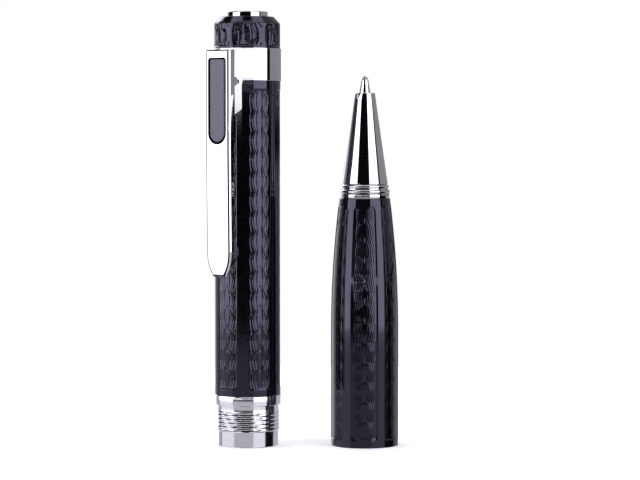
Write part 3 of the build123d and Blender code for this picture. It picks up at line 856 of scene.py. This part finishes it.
def make_clip():
    """Heavy sprung clip: chamfered face, cheeks round its hinge, channel behind, nub at the foot."""
    longer_foot, longer_head = 0.5, 0.3  # how much longer the clip is here than in CAD
    low, top = clip_low.z - longer_foot, clip_high.z + longer_head
    cheek_r, nub_r = 7.35, 6.2
    back = face_r - plate
    nub_face = nub_r + face_drop * (bend_z - nub_z) / (bend_z - low)
    outline = [(cheek_r, top), (face_r + 1, top), (face_r + 1, low)]
    outline += [(face_r - 0.55, low), (face_r - 0.75, low + 0.35)]
    outline += [(nub_face + 0.25, nub_z - 0.9), (nub_face, nub_z - 0.5), (nub_face, nub_z + 0.1)]
    outline += [(nub_face + 0.25, nub_z + 0.6), (face_r - tip_plate, nub_z + 2.6), (back, bend_z)]
    outline += [(back, head_low - 1.2), (cheek_r, head_low), (cheek_r, pivot.z - 2.2)]
    outline += arc((pivot_r, pivot.z), 0.85, 280, 80, 14)
    outline += [(cheek_r, pivot.z + 2.2)]
    half, tip_half, corner = width / 2, 1.4, 0.25
    shares = np.linspace(1, 0, 10)
    right = [(half - (half - tip_half) * t**2.5, taper_z - (taper_z - low) * t) for t in shares]
    right += arc((half - corner, top - corner), corner, 0, 90, 4)
    front = right + [(-x, z) for x, z in reversed(right)]
    # side, steep facet, black line of painted shade let into the edge, face
    layers = [(5.0, 0.0), (face_r - 0.5, 0.0), (face_r - 0.46, 0.02), (face_r - 0.16, 0.14)]
    layers += [(face_r - 0.13, 0.17), (face_r - 0.19, 0.18), (face_r - 0.19, 0.42), (face_r, 0.43)]
    # the walls at the painted layers take the black painted shade
    piece = layered_prism("clip_plated", front, layers, [CHROME, SHADE_BLACK], (4, 5, 6))
    cut(piece, extrude_outline("side", outline, -4.0, 4.0, "side", [SATIN]), "INTERSECT")

    inside = width / 2 - cheek
    channel = [(5.0, head_low - 2.0), (face_r - head_plate, head_low - 2.0)]
    channel += [(face_r - head_plate, top - cheek), (5.0, top - cheek)]
    cut(piece, extrude_outline("channel", channel, -inside, inside, "side", [CHROME]))
    seat = inlay_outline(recess_width / 2, recess_low, recess_top, 0.6)
    # the seat round the inlay takes the black painted shade
    cut(piece, extrude_outline("seat", seat, face_r - 0.4, face_r + 1, "front", [SHADE_BLACK]))
    bend_down(piece)
    shade(piece, 12)
    return piece


def make_inlay():
    """Dark insert, a little inside its seat's outline, with a softened edge."""
    margin, top_margin = 0.475, 0.3
    outline = inlay_outline(recess_width / 2 - margin, recess_low + margin, recess_top - top_margin, 0.35)
    piece = extrude_outline("clip_inlay_polished", outline, face_r - 0.39, face_r - 0.02, "front", [INLAY])
    bevel(piece, 0.1, 4)
    shade(piece, 40)
    return piece


clip_piece = make_clip()
# its mirror image is left out of the band and the lacquer beside it, in every view
clip_piece.visible_glossy = False
place(clip_piece, "clip", "chrome", "clip")
place(make_inlay(), "clip", "inlay", "clip_inlay")


# ---------------------------------------------------------------- button, rings, nose, point
def make_button():
    r, top = 3.9, button_high.z
    outline = [(0, top - 0.02), (1.2, top - 0.01), (2.6, top, 0.3), (r, top - 0.02, 0.22), (r, 80.45, 0.03)]
    outline += [(4.4, 80.45, 0.05), (4.4, button_low.z, 0.05), (0, button_low.z)]
    return turned("record_button_plated", soften(outline), upper_centre, [CHROME], 144, 40)


def make_rings():
    low, high = ring_low.z, ring_high.z
    outline = [(3.05, low), (4.685, low, 0.05), (4.685, low + 0.78, 0.06), (4.42, low + 0.9)]
    outline = soften(outline)
    outline += arc((4.33, low + 1.25), 0.44, -55, 55, 10)
    outline += [(4.4, low + 1.68)]
    outline += arc((4.11, low + 2.2), 0.44, -50, 50, 10)
    outline += [(4.2, high), (3.05, high)]
    return turned("trim_ring_plated", outline, front_centre, [CHROME], 176, 40)


def make_nose():
    low, high = 49.66, nose_high.z
    base_r, tip_r, bore = 4.35, 1.925, 1.215
    outline = [(2.95, low), (base_r - 0.1, low), (base_r, low + 0.1), (tip_r, high, 0.14), (bore, high, 0.06)]
    outline = dense(soften(outline), 1.2)
    outline += [(bore, low + 6.0), (2.2, low + 4.0), (2.2, nose_low.z), (2.95, nose_low.z)]
    return turned("nose_cone_plated", outline, front_centre, [CHROME], 176, 30)


def make_point():
    r, low, top = 1.15, point_low.z, ball_high.z
    outline = [(0, low), (r, low, 0.05), (r - 0.02, nose_high.z - 0.2, 0.1), (0.68, top - 0.72, 0.3)]
    outline += [(0.54, top - 0.44, 0.06), (0, top - 0.5)]
    return turned("refill_point_turned", soften(outline, 6), front_centre, [POINT], 96, 40)


def make_ball():
    r, top = 0.45, ball_high.z
    outline = [(0, top - 2 * r)] + arc((0, top - r), r, -80, 80, 14) + [(0, top)]
    return turned("writing_ball_polished", outline, front_centre, [CARBIDE], 64, 60)


place(make_button(), "record_button", "chrome", "record_button")
place(make_rings(), "writing_half", "chrome", "trim_ring")
place(make_nose(), "writing_half", "chrome", "nose_cone")
place(make_point(), "refill", "point_metal", "refill_point")
place(make_ball(), "refill", "ball_carbide", "writing_ball")


# ---------------------------------------------------------------- pieces kept from the CAD model
finishes = {
    "spring_steel": STEEL,
    "circuit_board": BOARD,
    "chip_plastic": CHIP,
    "holder_plastic": HOLDER,
    "lens_glass": GLASS,
    "led_epoxy": LED,
    "flex_film": FLEX,
    "cell_wrap": SLEEVE,
    "foam": FOAM,
    "wire_insulation": WIRE,
    "refill_metal": PLATED,
    "aluminium": ALUMINIUM,
}
replaced = {
    "barrel_tube", "grip_barrel", "cap", "coupling", "clip_band", "clip", "clip_inlay",
    "record_button", "trim_ring", "nose_cone", "refill_point", "writing_ball",
}
for entry in frame["record"]["subparts"]:
    node = entry["node"]
    if node in replaced:
        continue
    kept = nodes[node].data
    kept.materials.clear()
    kept.materials.append(SOCKET if node == "usb_socket" else finishes[entry["material_slot"]])


# ---------------------------------------------------------------- floor
def make_floor():
    """Round sheet of plain pale paper, a little larger than the picture."""
    radius, segments = 160.0, 96
    rings = (20.0, 60.0, 110.0, radius)
    middle_x = 11.0
    turns = np.linspace(0, TAU, segments, endpoint=False)
    points = [(middle_x, 0.0, 0.0)]
    for r in rings:
        points += [(middle_x + r * math.cos(a), r * math.sin(a), 0.0) for a in turns]
    faces = [(0, 1 + i, 1 + (i + 1) % segments) for i in range(segments)]
    for ring in range(len(rings) - 1):
        inner, outer = 1 + ring * segments, 1 + (ring + 1) * segments
        for i in range(segments):
            j = (i + 1) % segments
            faces.append((inner + i, outer + i, outer + j, inner + j))
    paper = Shader("floor_paper", (0.93, 0.925, 0.945), 0.0, 0.85, Specular_IOR_Level=0.1)
    dark, light = (0.92, 0.915, 0.94), (0.94, 0.935, 0.955)
    paper.drive("Base Color", paper.colours(paper.noise(60), (0.3, dark), (0.7, light)))
    paper.set("Emission Color", (1.0, 0.99, 1.0, 1.0))
    paper.set("Emission Strength", 0.12)
    floor = make_piece("floor", points, faces, [paper.material])
    floor.visible_glossy = False


make_floor()


# ---------------------------------------------------------------- light
def studio_world():
    """Soft boxes and dark gaps round the object, as directions; the backdrop itself is white."""
    world = bpy.data.worlds.new("studio")
    bpy.context.scene.world = world
    world.use_nodes = True
    tree = world.node_tree
    tree.nodes.clear()

    def node(kind, operation=None, **inputs):
        made = tree.nodes.new(kind)
        if operation:
            made.operation = operation
        for socket, value in inputs.items():
            target = made.inputs[int(socket[1:])] if socket[0] == "_" else made.inputs[socket]
            if isinstance(value, bpy.types.NodeSocket):
                tree.links.new(value, target)
            else:
                target.default_value = value
        return made

    def math_node(operation, first, second=0.0):
        return node("ShaderNodeMath", operation, _0=first, _1=second).outputs[0]

    direction = node("ShaderNodeTexCoord").outputs["Generated"]
    parts = node("ShaderNodeSeparateXYZ", Vector=direction).outputs
    toward_camera = math_node("MULTIPLY", parts["Y"], -1.0)
    bearing = math_node("MULTIPLY", math_node("ARCTAN2", parts["X"], toward_camera), 180 / math.pi)
    height = math_node("MULTIPLY", math_node("ARCSINE", parts["Z"]), 180 / math.pi)

    def edge(value, start, end):
        made = node("ShaderNodeMapRange", Value=value)
        made.interpolation_type = "SMOOTHSTEP"
        made.inputs["From Min"].default_value = start
        made.inputs["From Max"].default_value = end
        return made.outputs["Result"]

    risen = math_node("MAXIMUM", height, 0.0)

    def leaning(side):
        """A side's bearing: (at the horizon, change for each degree above it)."""
        return math_node("ADD", math_node("MULTIPLY", risen, side[1]), side[0])

    def card(strength, left, right, heights, soft=2.0, soft_height=2.0):
        """A soft box between two sides and two heights (bearing 0 faces the camera, + right)."""
        start = math_node("SUBTRACT", bearing, leaning(left))
        end = math_node("SUBTRACT", leaning(right), bearing)
        sides = math_node("MULTIPLY", edge(start, -soft, soft), edge(end, -soft, soft))
        ends = math_node(
            "MULTIPLY",
            edge(height, heights[0] - soft_height, heights[0] + soft_height),
            edge(height, heights[1] + soft_height, heights[1] - soft_height),
        )
        return math_node("MULTIPLY", math_node("MULTIPLY", sides, ends), strength)

    left_box = ((-114, 2.6), (-52, 0.8))
    right_box = ((24, 0), (72, 0.1))
    front = ((-52, 0.8), (24, 0))
    cards = [
        card(0.85, *left_box, (-90, -4.4), 2.0, 0.6),
        card(2.9, *left_box, (-4.4, 35), 2.0, 0.6),
        card(0.85, *right_box, (-90, -4.4), 2.0, 0.6),
        card(2.9, *right_box, (-4.4, 35), 2.0, 0.6),
        card(2.6, *front, (1.42, 2.2), 2.0, 0.05),
        card(1.6, (-52, 0.8), (-18, 0), (0.5, 1.6), 2.0, 0.08),
        card(0.1, *front, (2.3, 8.0), 2.0, 0.1),
        card(0.48, *front, (-40, -4.8), 2.0, 0.5),
        card(0.36, (86, -0.2), (185, 0), (0.5, 60), 2.0, 0.5),
        card(0.5, (116, 0), (185, 0), (-60, -0.5), 3.0, 0.5),
        card(1.5, (-167, 0), (-140, 0), (-60, 60), 3.0),
        card(1.8, (-167, 0), (-140, 0), (8, 40), 3.0),
        card(0.45, (-138, 0), (-117, 0), (-60, 8), 3.0),
        card(1.7, (-200, 0), (200, 0), (59, 80), 3.0, 3.0),
    ]
    total = 0.004
    for lit in cards:
        total = math_node("ADD", lit, total)
    soft_boxes = node("ShaderNodeBackground", Color=(0.955, 0.93, 1.0, 1.0), Strength=total)
    backdrop = node("ShaderNodeBackground", Color=(1.0, 1.0, 1.0, 1.0), Strength=1.0)
    seen = node("ShaderNodeLightPath").outputs["Is Camera Ray"]
    mixed = node("ShaderNodeMixShader", _0=seen, _1=soft_boxes.outputs[0], _2=backdrop.outputs[0])
    node("ShaderNodeOutputWorld", Surface=mixed.outputs[0])


studio_world()


def key_light(name, spot, aim, size, watts):
    """A large area lamp, for the light on the paper."""
    lamp = bpy.data.lights.new(name, "AREA")
    lamp.shape, lamp.size, lamp.size_y, lamp.energy = "RECTANGLE", size, size, watts
    lamp.color = (1.0, 0.99, 1.0)
    thing = bpy.data.objects.new(name, lamp)
    bpy.context.scene.collection.objects.link(thing)
    thing.location = spot
    thing.rotation_euler = (Vector(aim) - Vector(spot)).to_track_quat("-Z", "Y").to_euler()
    thing.visible_camera = False
    thing.visible_glossy = False


key_light("overhead", (0.01, 0.05, 0.6), (0.01, 0.0, 0.0), 0.6, 2.2)
key_light("left", (-0.6, -0.13, 0.11), (0.02, 0.0, 0.0), 0.1, 3.0)


# ---------------------------------------------------------------- camera
def make_camera():
    data = bpy.data.cameras.new("camera")
    data.sensor_width = 36.0
    data.lens = 135.6
    data.clip_start, data.clip_end = 0.01, 10.0
    camera = bpy.data.objects.new("camera", data)
    bpy.context.scene.collection.objects.link(camera)
    camera.location = (0.0138, -0.458, 0.058)
    camera.rotation_euler = (math.radians(87.63), 0.0, 0.0)
    bpy.context.scene.camera = camera


make_camera()
bpy.context.scene.view_settings.view_transform = "Standard"
